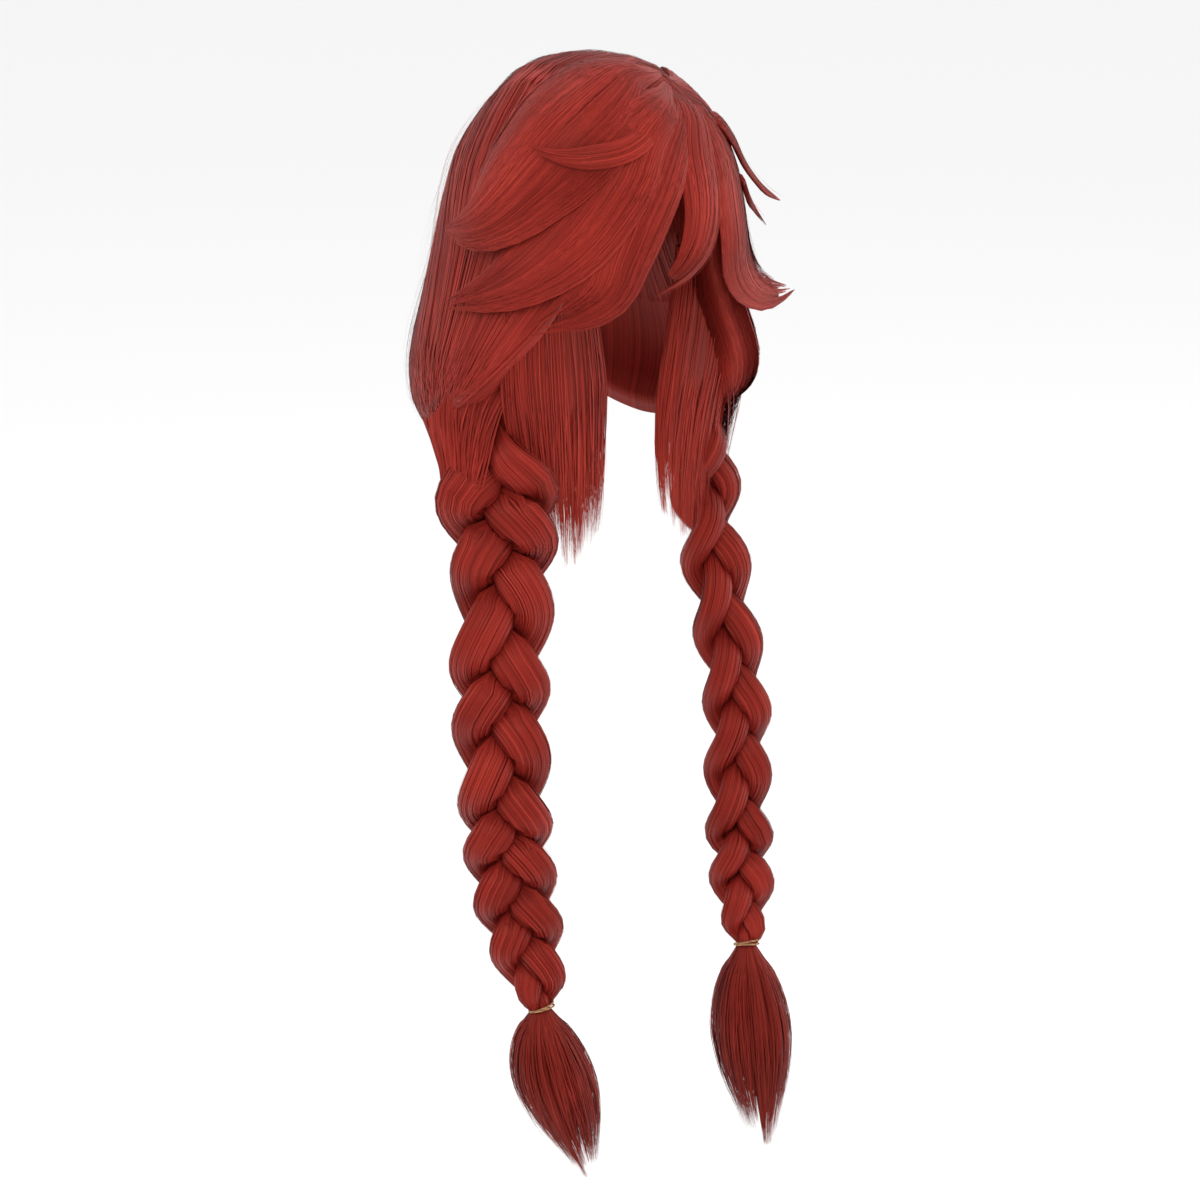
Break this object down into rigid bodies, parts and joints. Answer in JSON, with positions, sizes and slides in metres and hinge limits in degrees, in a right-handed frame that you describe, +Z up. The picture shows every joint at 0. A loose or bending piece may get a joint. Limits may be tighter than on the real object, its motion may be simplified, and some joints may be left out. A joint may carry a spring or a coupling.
{
  "type": "pigtail wig",
  "caption": "Long wig with swept bangs, straight side locks and a plaited pigtail at each side, tied above a loose tail.",
  "frame": {"origin": "highest point of the hollow inside the crown, where the wearer's head carries the wig", "axes": "+Z up, -Y the way the wearer faces, +X the wearer's left"},
  "size_m": [0.3335, 0.2728, 0.9427],
  "materials": {
    "hair": "satin",
    "tie": "matte"
  },
  "bodies": {
    "root": {"crown_hair": "hair", "bang_centre": "hair", "front_left": "hair", "bang_right_lower": "hair", "bang_right_upper": "hair", "layer_right": "hair", "layer_left": "hair", "flick_top": "hair", "flick_left_upper": "hair", "flick_left_small": "hair", "flick_left_lower": "hair", "side_lock_right": "hair", "side_lock_left": "hair", "braid_right_strand_a": "hair", "braid_right_strand_b": "hair", "braid_right_strand_c": "hair", "braid_left_strand_a": "hair", "braid_left_strand_b": "hair", "braid_left_strand_c": "hair", "hair_tie_right": "tie", "hair_tie_left": "tie", "tail_right": "hair", "tail_left": "hair"}
  },
  "joints": []
}
